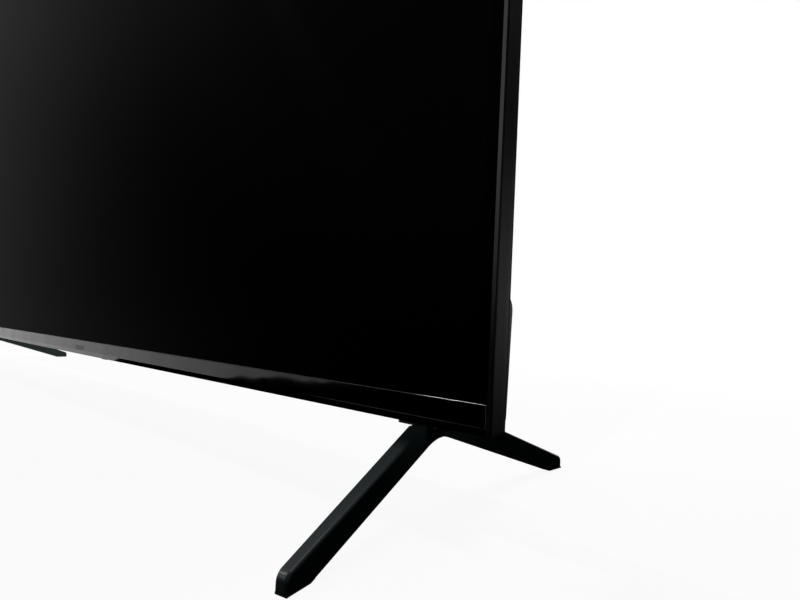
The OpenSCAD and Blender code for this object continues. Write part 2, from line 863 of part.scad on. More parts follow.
// Flat cable from the main board to the panel's control board
module panel_ribbon() {
    ribbon_t = 0.4;
    ribbon_z = mid(tcon_z[0], tcon_z[1]);
    ribbon_w = 26;
    start = tcon_w / 2 - ribbon_lap;
    finish = main_x[0] + ribbon_lap;
    landing = finish - ribbon_lap - ribbon_ease;
    leaving = landing - ribbon_climb;
    low = tcon_depth + board_t;
    high = board_back;
    color("#d9d5c8") rise(ribbon_z - ribbon_w / 2, ribbon_z + ribbon_w / 2)
        polygon([[start, at(low)], [leaving, at(low)], [landing, at(high)],
            [finish, at(high)], [finish, at(high + ribbon_t)],
            [landing - ribbon_t / 2, at(high + ribbon_t)],
            [leaving - ribbon_t / 2, at(low + ribbon_t)], [start, at(low + ribbon_t)]]);
}

// Small radio board on the tray under the main board
module radio_module() {
    color("#1c4f70")
        block([hub_half - radio_at - radio_w, hub_half - radio_at], [tray_back, tray_back + board_t],
            [floor_gap + lower_shelf, floor_gap + lower_shelf + radio_h]);
}

lower_shelf = 60;
radio_at = 30;
radio_w = 40;
radio_h = 24;

// Socket shell with a chamfered mouth and a contact tongue
module hdmi_sockets() {
    color("#b9bcc0") for (slot = hdmi_slots) union() {
        difference() {
            socket_block(slot, hdmi_size, 0);
            socket_mouth(slot, hdmi_size, 11)
                polygon([[-2.3, -7], [0.6, -7], [2.3, -5.2], [2.3, 5.2], [0.6, 7], [-2.3, 7]]);
        }
        socket_mouth(slot, hdmi_size, 11.1) translate([-0.4, -5.4]) square([0.9, 10.8]);
    }
}

module usb_sockets() {
    color("#b4b7ba") for (slot = usb_slots) union() {
        difference() {
            socket_block(slot, usb_size, 0);
            socket_mouth(slot, usb_size, 11) square([5.2, 12.6], center = true);
        }
        socket_mouth(slot, usb_size, 11.1) translate([0.3, -5.4]) square([1.6, 10.8]);
    }
}

module lan_socket() {
    color("#a8abae") difference() {
        socket_block(lan_slot, lan_size, 0);
        socket_mouth(lan_slot, lan_size, 11) {
            translate([-0.6, 0]) square([8.6, 11.8], center = true);
            translate([4.6, 0]) square([3, 6], center = true);
        }
    }
}

module audio_jack() {
    color("#141516") difference() {
        socket_block(audio_slot, audio_size, 0);
        socket_mouth(audio_slot, audio_size, 12) circle(1.8);
    }
}

antenna_l = 9;
antenna_r = 4.7;

module antenna_socket() {
    color("#c9b27a") difference() {
        union() {
            socket_block(antenna_slot, antenna_size, 0);
            translate([port_face, at(board_back + antenna_size[1] / 2), port_z(antenna_slot)])
                rotate([0, 90, 0]) cylinder(r = antenna_r, h = antenna_l);
        }
        translate([port_face - 2, at(board_back + antenna_size[1] / 2), port_z(antenna_slot)])
            rotate([0, 90, 0]) cylinder(r = 1.2, h = antenna_l + 2 + over);
    }
}

inlet_size = [25, 13, 16];
inlet_depth = [board_back, board_back + inlet_size[1]];
inlet_z = [inlet_mid - inlet_size[0] / 2, inlet_mid + inlet_size[0] / 2];
inlet_pin_pitch = 8.6;

// Two-pin mains inlet with a figure-eight mouth
module mains_inlet() {
    lobe_r = 4.4;
    pin_r = 1.2;
    mouth = 12;
    color("#101112") difference() {
        block([-hub_half, -hub_half + inlet_size[2]], inlet_depth, inlet_z);
        translate([-hub_half - over, at(mid(inlet_depth[0], inlet_depth[1])), inlet_mid])
            rotate([90, 0, 90]) linear_extrude(mouth + over) difference() {
                union() {
                    for (side = [-1, 1]) translate([0, side * inlet_pin_pitch / 2]) circle(lobe_r);
                    square([lobe_r * 1.7, inlet_pin_pitch], center = true);
                }
                for (side = [-1, 1]) translate([0, side * inlet_pin_pitch / 2]) circle(pin_r);
            }
    }
}

box_front = tray_back + 2;
box_back = band_depth - cover_wall - band_lean - 3.5;
well_floor = box_back - 12;
magnet_t = 5;

// Speaker enclosure with a round well for its driver
module speaker_box(side) {
    color("#26282a") difference() {
        sheet(box_front, box_back) translate([side * speaker_x, speaker_z])
            round_rect(speaker_w, speaker_h, 5);
        bar(side * speaker_x, speaker_z, well_floor, box_back + over, cone_r + 1);
    }
}

module speaker_box_left() { speaker_box(-1); }

module speaker_box_right() { speaker_box(1); }

module speaker_magnets() {
    color("#5a5c60") for (side = [-1, 1])
        bar(side * speaker_x, speaker_z, well_floor, well_floor + magnet_t, cone_r - 4);
}

// Cone with a dust dome, revolved about the driver's axis
module speaker_cone(side) {
    rim_depth = box_back - 1;
    cone_h = 5 - cone_travel;
    cone_t = 0.8;
    dome_r = cone_r * 0.45;
    color("#151617") translate([side * speaker_x, at(rim_depth), speaker_z]) rotate([-90, 0, 0])
        rotate_extrude() union() {
            polygon([[dome_r - 1, -cone_h], [dome_r, -cone_h], [cone_r, -cone_t], [cone_r, 0],
                [dome_r, cone_t - cone_h], [dome_r - 1, cone_t - cone_h]]);
            intersection() {
                translate([0, -cone_h - dome_r]) circle(dome_r * 1.414);
                translate([0, -cone_h]) square([dome_r + 0.01, dome_r]);
            }
        }
}

module speaker_cone_left() { speaker_cone(-1); }

module speaker_cone_right() { speaker_cone(1); }

module ir_window() {
    color("#1a0d10") block([-sensor_w / 2 + socket_clear, sensor_w / 2 - socket_clear], [0, chin_wall],
        [sensor_low + socket_clear, sensor_high - socket_clear]);
}

// Receiver board behind the window, with a domed sensor
module ir_board() {
    sensor_mid = mid(sensor_low, sensor_high);
    board_front = chin_wall + 2.6;
    color("#215a3c") union() {
        block([-sensor_w / 2 - 4, sensor_w / 2 + 4], [board_front, board_front + 1],
            [floor_gap + shelf_t, sensor_high]);
        bar(0, sensor_mid, chin_wall + 0.2, board_front, sensor_h / 2 - 0.4);
    }
}

// Push button: a cap through the shelf, a flange inside and a stem towards the switch
module power_button() {
    flange_low = floor_gap + shelf_t + gap;
    flange_high = flange_low + 1;
    color("#161718") union() {
        rise(floor_gap - 1.2, flange_low) button_outline(0);
        rise(flange_low, flange_high) button_outline(1.2);
        translate([button_x, button_y, flange_high]) cylinder(r = 1.6, h = 0.8);
    }
}

module button_board() {
    switch_h = 1;
    color("#1f5a38") union() {
        translate([button_x, button_y, button_board_low + 0.5])
            cube([2 * button_post_x + 6, 8, 1], center = true);
        translate([button_x, button_y, button_board_low - switch_h / 2])
            cube([6, 6, switch_h], center = true);
    }
}

// Outline of a foot from the side: front to the left, two sloping legs over a rounded arch
module foot_section() {
    front_slope = front_under / (leg_l - front_sole);
    rear_slope = rear_under / (leg_l - rear_sole);
    front_lean = atan(front_slope);
    rear_lean = atan(rear_slope);
    peak_y = (rear_under - front_under) / (front_slope + rear_slope);
    peak_z = front_under + front_slope * peak_y;
    arch_drop = crotch_r * (sin(front_lean) + sin(rear_lean)) / sin(front_lean + rear_lean);
    arch_y = peak_y - arch_drop * (cos(front_lean) - cos(rear_lean)) / (sin(front_lean) + sin(rear_lean));
    arch_z = peak_z - arch_drop;
    difference() {
        union() {
            leg_outline(-1, front_rise, tip_h);
            leg_outline(1, rear_rise, rear_tip_h);
        }
        polygon([[arch_y - crotch_r * sin(front_lean), arch_z + crotch_r * cos(front_lean)],
            [arch_y + crotch_r * sin(rear_lean), arch_z + crotch_r * cos(rear_lean)],
            [leg_l - rear_sole + over / rear_slope, -over],
            [-leg_l + front_sole - over / front_slope, -over]]);
        intersection() {
            translate([arch_y, arch_z]) circle(crotch_r + round_lap);
            translate([arch_y - crotch_r, 0]) square(2 * crotch_r);
        }
        translate([-leg_l, leg_top]) square([2 * leg_l, apex_h]);
    }
}

// Upper outline of one leg with its rounded tip, down to the floor
module leg_outline(end, slope, corner) {
    tip_line = corner + slope * tip_r;
    tip_mid = tip_line - tip_r * sqrt(1 + slope * slope);
    touch = tip_r * sin(atan(slope));
    polygon([[0, 0], [end * leg_l, 0], [end * leg_l, tip_mid],
        [end * (leg_l - tip_r + touch), tip_line - slope * touch - round_lap],
        [0, corner + slope * leg_l - round_lap]]);
    intersection() {
        translate([end * (leg_l - tip_r), tip_mid]) circle(tip_r);
        translate([end < 0 ? -leg_l : leg_l - tip_r, 0]) square([tip_r, 2 * corner]);
    }
}

// One leg, thinning towards its tip and turned outward; end is -1 in front and 1 behind
module leg(end) {
    overlap = leg_root_t / 2;
    rotate([0, 0, -end * toe_out]) intersection() {
        run(-leg_root_t, leg_root_t) foot_section();
        rise(-over, apex_h)
            polygon([[-leg_root_t / 2, -end * overlap], [-leg_root_t / 2, 0],
                [-leg_tip_t / 2, end * leg_l], [leg_tip_t / 2, end * leg_l],
                [leg_root_t / 2, 0], [leg_root_t / 2, -end * overlap]]);
    }
}

module foot_legs() {
    leg(-1);
    leg(1);
}

// Places of a foot's two screws, either side of its tongue
module each_foot_screw() {
    for (x = [-1, 1]) translate([x * foot_screw_x, tongue_y]) children();
}

// Right-hand foot about its own middle
module foot_body() {
    difference() {
        union() {
            foot_legs();
            rise(sole_top, floor_gap) round_rect(flange_w, flange_l, 3);
            rise(floor_gap, floor_gap + tongue_h) translate([0, tongue_y])
                round_rect(tongue_w, tongue_l, 2);
        }
        rise(-over, pad_t) square(3 * leg_l, center = true);
        rise(sole_top - over, floor_gap + over) each_foot_screw() circle(foot_screw_r + hole_clear);
    }
}

module foot_right() {
    color("#2c2f31") translate([foot_x, 0, 0]) foot_body();
}

module foot_left() {
    color("#2c2f31") mirror([1, 0, 0]) translate([foot_x, 0, 0]) foot_body();
}

// Steel angles inside the cabinet that the feet plug into
module foot_brackets() {
    plate_low = floor_gap + cover_wall;
    plate_back = cover_low_back - gap;
    plate_x = [-bracket_in, foot_inset - band_inset - cover_wall - gap];
    color("#9fa3a6") for (side = [0, 1]) mirror([side, 0, 0]) translate([foot_x, 0, 0]) difference() {
        union() {
            block(plate_x, [tray_back, plate_back], [plate_low, plate_low + bracket_t]);
            block(plate_x, [tray_back, tray_back + bracket_fold], [plate_low, plate_low + bracket_h]);
        }
        rise(plate_low - over, plate_low + bracket_t + over) translate([0, tongue_y])
            square([tongue_w + 2 * gap, tongue_l + 2 * gap], center = true);
        rise(plate_low - over, plate_low + bracket_t + over) each_foot_screw()
            circle(foot_screw_r + thread_clear);
    }
}

foot_head_t = 2;

module foot_screws() {
    shank = flange_t + cover_wall + bracket_t;
    color("#55585b") for (side = [-1, 1]) translate([side * foot_x, 0, 0]) {
        rise(sole_top - foot_head_t, sole_top - foot_head_t + recess_t) each_foot_screw() difference() {
            circle(foot_head_r);
            screw_cross(foot_head_r);
        }
        rise(sole_top - foot_head_t + recess_t, sole_top) each_foot_screw() circle(foot_head_r);
        rise(sole_top, sole_top + shank) each_foot_screw() circle(foot_screw_r);
    }
}

// Rubber soles under the four tips
module foot_pads() {
    color("#101010") for (side = [0, 1]) mirror([side, 0, 0]) translate([foot_x, 0, 0])
        intersection() {
            foot_legs();
            rise(0, pad_t) square(3 * leg_l, center = true);
        }
}

front_bezel();
bottom_trim();
lcd_panel();
panel_flexes();
source_boards();
middle_frame();
optical_films();
diffuser_plate();
reflector_sheet();
led_lenses();
led_strips();
backlight_tray();
rear_cover();
cover_screws();
vesa_posts();
terminal_plate();
main_board();
main_board_parts();
heat_sink();
power_board();
power_parts();
tcon_board();
panel_ribbon();
radio_module();
hdmi_sockets();
usb_sockets();
lan_socket();
antenna_socket();
audio_jack();
mains_inlet();
speaker_box_left();
speaker_box_right();
speaker_magnets();
speaker_cone_left();
speaker_cone_right();
ir_window();
ir_board();
power_button();
button_board();
foot_left();
foot_right();
foot_brackets();
foot_screws();
foot_pads();
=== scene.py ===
import json
import math

import bmesh
import bpy
from mathutils import Matrix, Vector

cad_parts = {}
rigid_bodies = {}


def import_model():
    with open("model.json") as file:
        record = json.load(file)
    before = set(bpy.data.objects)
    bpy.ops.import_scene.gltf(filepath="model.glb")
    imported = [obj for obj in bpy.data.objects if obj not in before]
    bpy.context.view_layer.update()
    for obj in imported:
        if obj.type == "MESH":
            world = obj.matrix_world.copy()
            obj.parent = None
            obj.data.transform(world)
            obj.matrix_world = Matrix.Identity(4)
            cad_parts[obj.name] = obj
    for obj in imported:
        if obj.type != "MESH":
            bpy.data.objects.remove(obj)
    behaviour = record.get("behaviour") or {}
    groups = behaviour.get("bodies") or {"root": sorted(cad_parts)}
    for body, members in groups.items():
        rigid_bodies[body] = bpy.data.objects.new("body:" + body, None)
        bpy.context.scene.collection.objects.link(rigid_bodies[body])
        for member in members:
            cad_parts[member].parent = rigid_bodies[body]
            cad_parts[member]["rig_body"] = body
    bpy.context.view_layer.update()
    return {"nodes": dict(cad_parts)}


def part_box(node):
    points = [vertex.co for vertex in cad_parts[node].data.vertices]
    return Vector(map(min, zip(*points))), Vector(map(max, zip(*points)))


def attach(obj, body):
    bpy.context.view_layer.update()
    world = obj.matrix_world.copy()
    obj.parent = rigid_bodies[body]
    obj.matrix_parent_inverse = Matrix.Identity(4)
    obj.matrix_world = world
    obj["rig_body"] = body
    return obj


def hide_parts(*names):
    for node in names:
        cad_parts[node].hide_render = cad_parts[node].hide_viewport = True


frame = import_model()
nodes = frame["nodes"]

# Camera at the photograph's viewing angle, fitted to the straight lines of the set: low, close to the
# right-hand end of the cabinet and looking slightly up, with no shift and no depth of field.


def add_object(name, data):
    """New object in the scene, at the origin."""
    made = bpy.data.objects.new(name, data)
    bpy.context.scene.collection.objects.link(made)
    return made


yaw, pitch, roll = (math.radians(angle) for angle in (39.336, -2.483, 2.906))
forward = Vector((-math.sin(yaw) * math.cos(pitch), math.cos(yaw) * math.cos(pitch), -math.sin(pitch)))
level = Vector((math.cos(yaw), math.sin(yaw), 0))
plumb = level.cross(forward)
right = math.cos(roll) * level + math.sin(roll) * plumb
up = math.cos(roll) * plumb - math.sin(roll) * level
lens = bpy.data.cameras.new("camera")
sensor_width, picture_width, focal_pixels = 36, 800, 514.658
lens.sensor_width = sensor_width
lens.lens = focal_pixels / picture_width * sensor_width
camera = add_object("camera", lens)
camera.matrix_world = Matrix((right, up, -forward)).transposed().to_4x4()
camera.location = (0.68627, -0.26288, 0.10606)
bpy.context.scene.camera = camera

# Backlight tray and foot brackets: pressed sheet steel with a zinc coat, which shows as pale patches
# with a slight change of gloss from one to the next. The tray carries every other piece.


def new_group(name, inputs, outputs):
    """Empty node group with its sockets, its input and its output."""
    group = bpy.data.node_groups.new(name, "ShaderNodeTree")
    for label, kind in inputs:
        group.interface.new_socket(label, in_out="INPUT", socket_type="NodeSocket" + kind)
    for label, kind in outputs:
        group.interface.new_socket(label, in_out="OUTPUT", socket_type="NodeSocket" + kind)
    return group, group.nodes.new("NodeGroupInput"), group.nodes.new("NodeGroupOutput")


def new_material(name, roughness, metallic=0.0, specular=0.5):
    """Material with its shader, its constants and the object's own coordinates."""
    material = bpy.data.materials.new(name)
    material.use_nodes = True
    shader = material.node_tree.nodes["Principled BSDF"]
    shader.inputs["Roughness"].default_value = roughness
    shader.inputs["Metallic"].default_value = metallic
    shader.inputs["Specular IOR Level"].default_value = specular
    where = material.node_tree.nodes.new("ShaderNodeTexCoord").outputs["Object"]
    return material, material.node_tree, shader, where


def mix(tree, factor, first, second):
    """Colour that goes from one to another with a factor; each is a constant or an output."""
    blend = tree.nodes.new("ShaderNodeMix")
    blend.data_type = "RGBA"
    tree.links.new(factor, blend.inputs["Factor"])
    for socket, colour in ((blend.inputs[6], first), (blend.inputs[7], second)):
        if isinstance(colour, tuple):
            socket.default_value = colour
        else:
            tree.links.new(colour, socket)
    return blend.outputs[2]


def dress(tree, shader, where, group, settings):
    """Puts a node group with its settings on a material, and links the colour and gloss that it gives."""
    effect = tree.nodes.new("ShaderNodeGroup")
    effect.node_tree = group
    for label, value in settings.items():
        effect.inputs[label].default_value = value
    tree.links.new(where, effect.inputs["Vector"])
    tree.links.new(effect.outputs["Color"], shader.inputs["Base Color"])
    if "Roughness" in effect.outputs:
        tree.links.new(effect.outputs["Roughness"], shader.inputs["Roughness"])
    return effect


def paint(material, *names):
    """Gives CAD nodes a material."""
    for name in names:
        nodes[name].data.materials.clear()
        nodes[name].data.materials.append(material)


spangle, spangle_in, spangle_out = new_group(
    "zinc_spangle", [("Vector", "Vector"), ("Dark", "Color"), ("Pale", "Color")],
    [("Color", "Color"), ("Roughness", "Float")])
cells = spangle.nodes.new("ShaderNodeTexVoronoi")
cells.inputs["Scale"].default_value = 120
cells.inputs["Randomness"].default_value = 1
spangle.links.new(spangle_in.outputs["Vector"], cells.inputs["Vector"])
split = spangle.nodes.new("ShaderNodeSeparateColor")
spangle.links.new(cells.outputs["Color"], split.inputs["Color"])
spangle.links.new(mix(spangle, split.outputs["Red"], spangle_in.outputs["Dark"], spangle_in.outputs["Pale"]),
                  spangle_out.inputs["Color"])
gloss = spangle.nodes.new("ShaderNodeMapRange")
gloss.inputs["To Min"].default_value = 0.32
gloss.inputs["To Max"].default_value = 0.5
spangle.links.new(split.outputs["Green"], gloss.inputs["Value"])
spangle.links.new(gloss.outputs["Result"], spangle_out.inputs["Roughness"])

zinc, tree, shader, where = new_material("zinc_sheet", 0.4, 0.9)
dress(tree, shader, where, spangle, {"Dark": (0.40, 0.41, 0.42, 1), "Pale": (0.58, 0.59, 0.60, 1)})
paint(zinc, "backlight_tray", "foot_brackets")

# Light strips, lenses, reflector, diffuser and films: white printed boards, clear moulded lenses and
# milky sheets, which lie in the tray one in front of the other and are held by the middle frame.
grain, grain_in, grain_out = new_group(
    "moulded_grain", [("Vector", "Vector"), ("Dark", "Color"), ("Pale", "Color"), ("Scale", "Float"),
                      ("Smoothest", "Float"), ("Roughest", "Float")],
    [("Color", "Color"), ("Roughness", "Float"), ("Height", "Float")])
cloud = grain.nodes.new("ShaderNodeTexNoise")
cloud.inputs["Scale"].default_value = 14
cloud.inputs["Detail"].default_value = 3
grain.links.new(grain_in.outputs["Vector"], cloud.inputs["Vector"])
grain.links.new(mix(grain, cloud.outputs["Fac"], grain_in.outputs["Dark"], grain_in.outputs["Pale"]),
                grain_out.inputs["Color"])
speck = grain.nodes.new("ShaderNodeTexNoise")
speck.inputs["Detail"].default_value = 2
grain.links.new(grain_in.outputs["Vector"], speck.inputs["Vector"])
grain.links.new(grain_in.outputs["Scale"], speck.inputs["Scale"])
gloss = grain.nodes.new("ShaderNodeMapRange")
gloss.inputs["From Min"].default_value = 0.3
gloss.inputs["From Max"].default_value = 0.7
grain.links.new(speck.outputs["Fac"], gloss.inputs["Value"])
grain.links.new(grain_in.outputs["Smoothest"], gloss.inputs["To Min"])
grain.links.new(grain_in.outputs["Roughest"], gloss.inputs["To Max"])
grain.links.new(gloss.outputs["Result"], grain_out.inputs["Roughness"])
grain.links.new(speck.outputs["Fac"], grain_out.inputs["Height"])


def emboss(tree, shader, height, relief):
    """Surface relief that follows a height; relief in metres."""
    bump = tree.nodes.new("ShaderNodeBump")
    bump.inputs["Strength"].default_value = 1
    bump.inputs["Distance"].default_value = relief
    tree.links.new(height, bump.inputs["Height"])
    tree.links.new(bump.outputs["Normal"], shader.inputs["Normal"])


def grained(name, dark, pale, scale, roughness, relief, metallic=0.0, specular=0.5):
    """Material whose colour, gloss and surface vary as moulded or painted ones do; relief in metres."""
    material, tree, shader, where = new_material(name, roughness[1], metallic, specular)
    effect = dress(tree, shader, where, grain, {
        "Dark": (*dark, 1), "Pale": (*pale, 1), "Scale": scale,
        "Smoothest": roughness[0], "Roughest": roughness[1]})
    emboss(tree, shader, effect.outputs["Height"], relief)
    return material


paint(grained("strip_mask", (0.70, 0.69, 0.64), (0.80, 0.79, 0.75), 900, (0.35, 0.5), 0.00001), "led_strips")
paint(grained("clear_moulding", (0.72, 0.76, 0.78), (0.80, 0.83, 0.85), 400, (0.08, 0.16), 0.000005),
      "led_lenses", "optical_films")
paint(grained("milky_sheet", (0.80, 0.80, 0.78), (0.86, 0.86, 0.84), 1500, (0.5, 0.65), 0.00001),
      "diffuser_plate", "reflector_sheet")

# Middle frame, terminal plate, speaker boxes and board parts: black moulded plastic with a fine grain,
# screwed or clipped to the tray.
black_plastic = grained("black_plastic", (0.012, 0.012, 0.013), (0.018, 0.018, 0.019), 2200, (0.42, 0.6),
                        0.00003, specular=0.12)
paint(black_plastic, "middle_frame", "terminal_plate", "main_board_parts", "power_parts", "speaker_box_left",
      "speaker_box_right")

# Circuit boards: laminate under a solder mask, with rows of tracks that show through it as paler lines,
# screwed to the tray's stand-offs.
tracks, tracks_in, tracks_out = new_group(
    "board_tracks", [("Vector", "Vector"), ("Mask", "Color"), ("Track", "Color")],
    [("Color", "Color"), ("Height", "Float")])
flat = tracks.nodes.new("ShaderNodeMapping")
flat.inputs["Rotation"].default_value = (math.radians(90), 0, 0)
tracks.links.new(tracks_in.outputs["Vector"], flat.inputs["Vector"])
lines = tracks.nodes.new("ShaderNodeTexBrick")
lines.inputs["Scale"].default_value = 160
lines.inputs["Mortar Size"].default_value = 0.035
lines.inputs["Mortar Smooth"].default_value = 0.2
lines.inputs["Brick Width"].default_value = 2.4
lines.inputs["Row Height"].default_value = 0.3
tracks.links.new(flat.outputs["Vector"], lines.inputs["Vector"])
tracks.links.new(mix(tracks, lines.outputs["Fac"], tracks_in.outputs["Mask"], tracks_in.outputs["Track"]),
                 tracks_out.inputs["Color"])
tracks.links.new(lines.outputs["Fac"], tracks_out.inputs["Height"])
for name, mask, track, members in (
        ("green_board", (0.02, 0.12, 0.05), (0.05, 0.22, 0.09),
         ("source_boards", "main_board", "tcon_board", "ir_board", "button_board")),
        ("blue_board", (0.02, 0.08, 0.20), (0.05, 0.16, 0.32), ("radio_module",)),
        ("tan_board", (0.42, 0.28, 0.10), (0.55, 0.40, 0.16), ("power_board",))):
    material, tree, shader, where = new_material(name, 0.35, specular=0.3)
    effect = dress(tree, shader, where, tracks, {"Mask": (*mask, 1), "Track": (*track, 1)})
    emboss(tree, shader, effect.outputs["Height"], 0.00003)
    paint(material, *members)

# Heat sink, speaker magnets, ribbon and film leads: extruded aluminium, turned steel, a flat white cable
# and amber films.
brush, brush_in, brush_out = new_group(
    "brushed", [("Vector", "Vector"), ("Stretch", "Vector"), ("Dark", "Color"), ("Pale", "Color"),
                ("Smoothest", "Float"), ("Roughest", "Float")],
    [("Color", "Color"), ("Roughness", "Float"), ("Height", "Float")])
stretch = brush.nodes.new("ShaderNodeVectorMath")
stretch.operation = "MULTIPLY"
brush.links.new(brush_in.outputs["Vector"], stretch.inputs[0])
brush.links.new(brush_in.outputs["Stretch"], stretch.inputs[1])
streak = brush.nodes.new("ShaderNodeTexNoise")
streak.inputs["Scale"].default_value = 1
streak.inputs["Detail"].default_value = 4
brush.links.new(stretch.outputs["Vector"], streak.inputs["Vector"])
brush.links.new(mix(brush, streak.outputs["Fac"], brush_in.outputs["Dark"], brush_in.outputs["Pale"]),
                brush_out.inputs["Color"])
gloss = brush.nodes.new("ShaderNodeMapRange")
gloss.inputs["From Min"].default_value = 0.3
gloss.inputs["From Max"].default_value = 0.7
brush.links.new(streak.outputs["Fac"], gloss.inputs["Value"])
brush.links.new(brush_in.outputs["Smoothest"], gloss.inputs["To Min"])
brush.links.new(brush_in.outputs["Roughest"], gloss.inputs["To Max"])
brush.links.new(gloss.outputs["Result"], brush_out.inputs["Roughness"])
brush.links.new(streak.outputs["Fac"], brush_out.inputs["Height"])


def brushed(name, dark, pale, stretch, roughness, relief, metallic=1.0, specular=0.5):
    """Material with fine lines along the axis where stretch is smallest; stretch in lines per metre."""
    material, tree, shader, where = new_material(name, roughness[1], metallic, specular)
    effect = dress(tree, shader, where, brush, {
        "Stretch": stretch, "Dark": (*dark, 1), "Pale": (*pale, 1),
        "Smoothest": roughness[0], "Roughest": roughness[1]})
    emboss(tree, shader, effect.outputs["Height"], relief)
    return material


paint(brushed("extruded_aluminium", (0.50, 0.51, 0.52), (0.66, 0.67, 0.68), (1200, 1200, 12), (0.3, 0.45),
              0.00001), "heat_sink")
turned_steel = brushed("turned_steel", (0.44, 0.45, 0.46), (0.60, 0.61, 0.62), (60, 1800, 60), (0.25, 0.4),
                       0.00001)
paint(turned_steel, "speaker_magnets")
paint(grained("flat_cable", (0.66, 0.64, 0.58), (0.76, 0.74, 0.68), 600, (0.4, 0.5), 0.00002), "panel_ribbon")
paint(grained("amber_film", (0.36, 0.18, 0.03), (0.48, 0.26, 0.06), 300, (0.15, 0.25), 0.000005),
      "panel_flexes")

# Speaker cones: pressed paper pulp with a soft fibre grain, free to travel in their boxes.
paint(grained("paper_pulp", (0.010, 0.010, 0.010), (0.022, 0.021, 0.020), 1400, (0.75, 0.9), 0.00008,
              specular=0.08), "speaker_cone_left", "speaker_cone_right")

# Screen: the panel's matt black glass, with a darker printed border round the picture area.
screen, tree, shader, where = new_material("screen_glass", 0.4, specular=0.003)
panel_low, panel_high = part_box("lcd_panel")
printed_border, border_fade = 0.0088, 0.0002
split = tree.nodes.new("ShaderNodeSeparateXYZ")
tree.links.new(where, split.inputs["Vector"])


def edge_distance(tree, value, low, high):
    """Distance of a coordinate from the nearer of two limits."""
    centre = tree.nodes.new("ShaderNodeMath")
    centre.operation = "SUBTRACT"
    centre.inputs[1].default_value = (low + high) / 2
    tree.links.new(value, centre.inputs[0])
    size = tree.nodes.new("ShaderNodeMath")
    size.operation = "ABSOLUTE"
    tree.links.new(centre.outputs["Value"], size.inputs[0])
    rest = tree.nodes.new("ShaderNodeMath")
    rest.operation = "SUBTRACT"
    rest.inputs[0].default_value = (high - low) / 2
    tree.links.new(size.outputs["Value"], rest.inputs[1])
    return rest.outputs["Value"]


nearest = tree.nodes.new("ShaderNodeMath")
nearest.operation = "MINIMUM"
tree.links.new(edge_distance(tree, split.outputs["X"], panel_low.x, panel_high.x), nearest.inputs[0])
tree.links.new(edge_distance(tree, split.outputs["Z"], panel_low.z, panel_high.z), nearest.inputs[1])
inside = tree.nodes.new("ShaderNodeMapRange")
inside.inputs["From Min"].default_value = printed_border
inside.inputs["From Max"].default_value = printed_border + border_fade
tree.links.new(nearest.outputs["Value"], inside.inputs["Value"])
haze = tree.nodes.new("ShaderNodeTexNoise")
haze.inputs["Scale"].default_value = 4000
tree.links.new(where, haze.inputs["Vector"])
picture = mix(tree, haze.outputs["Fac"], (0.00045, 0.00045, 0.0005, 1), (0.0007, 0.0007, 0.0008, 1))
tree.links.new(mix(tree, inside.outputs["Result"], (0.0003, 0.0003, 0.0003, 1), picture),
               shader.inputs["Base Color"])
emboss(tree, shader, haze.outputs["Fac"], 0.000005)
paint(screen, "lcd_panel")

# Front rim: a thin aluminium strip with a satin grey coat and a fine brush along it, its edges eased,
# hooked over the middle frame. The rounding of its outer front edge is painted near-black: painted shade.


def soft_copy(node, name, passes, sharp=28, clamp=True):
    """Piece that stands for a CAD node, with sharp edges of its mesh rounded; each pass is a width in metres,
    a number of segments, the material slot of the new faces and a test of which edges it takes."""
    weld = 0.000002
    bm = bmesh.new()
    bm.from_mesh(nodes[node].data)
    bmesh.ops.remove_doubles(bm, verts=bm.verts[:], dist=weld)
    bmesh.ops.dissolve_degenerate(bm, dist=weld, edges=bm.edges[:])
    bmesh.ops.dissolve_limit(bm, angle_limit=math.radians(0.3), verts=bm.verts[:], edges=bm.edges[:],
                             use_dissolve_boundaries=False)
    for width, segments, finish, wanted in passes:
        edges = [edge for edge in bm.edges if edge.is_manifold and edge.is_convex
                 and edge.calc_face_angle() > math.radians(sharp) and (wanted is None or wanted(edge))]
        eased = bmesh.ops.bevel(bm, geom=edges, offset=width, offset_type="OFFSET", segments=segments,
                                profile=0.5, affect="EDGES", clamp_overlap=clamp, material=-1)
        for face in eased["faces"]:
            face.material_index = finish
    bmesh.ops.recalc_face_normals(bm, faces=bm.faces[:])
    mesh = bpy.data.meshes.new(name)
    bm.to_mesh(mesh)
    bm.free()
    mesh.shade_smooth()
    mesh.set_sharp_from_angle(angle=math.radians(sharp))
    piece = add_object(name, mesh)
    shading = piece.modifiers.new("even_shading", "WEIGHTED_NORMAL")
    shading.keep_sharp = True
    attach(piece, nodes[node]["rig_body"])
    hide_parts(node)
    return piece


rim_low, rim_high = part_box("front_bezel")
corner = 0.003
near = 0.0001


def on_outline(v, low, high):
    """Vertex on the outline of a box seen from the front, a rectangle with small rounded corners."""
    beyond_x = max(abs(v.co.x) - high.x + corner, 0)
    beyond_z = max(v.co.z - high.z + corner, low.z + corner - v.co.z, 0)
    return abs(math.hypot(beyond_x, beyond_z) - corner) < near


def on_rim_front(edge):
    """Outer edge of the rim's front."""
    return all(abs(v.co.y - rim_low.y) < near and on_outline(v, rim_low, rim_high) for v in edge.verts)


rim = soft_copy("front_bezel", "rim_eased", [(0.0007, 4, 1, on_rim_front), (0.0002, 2, 0, None)])
rim.data.materials.append(brushed("satin_rim", (0.026, 0.027, 0.028), (0.040, 0.041, 0.043),
                                  (900, 900, 30), (0.42, 0.55), 0.000004, metallic=0.0, specular=0.006))
# Slot 1, the rounding of the outer front edge, is painted near-black as painted shade where the rounding
# turns away from the light.
rim.data.materials.append(brushed("rim_painted_edge_shade", (0.002, 0.002, 0.002), (0.0035, 0.0035, 0.0036),
                                  (900, 900, 30), (0.6, 0.75), 0.000002, metallic=0.0, specular=0.004))

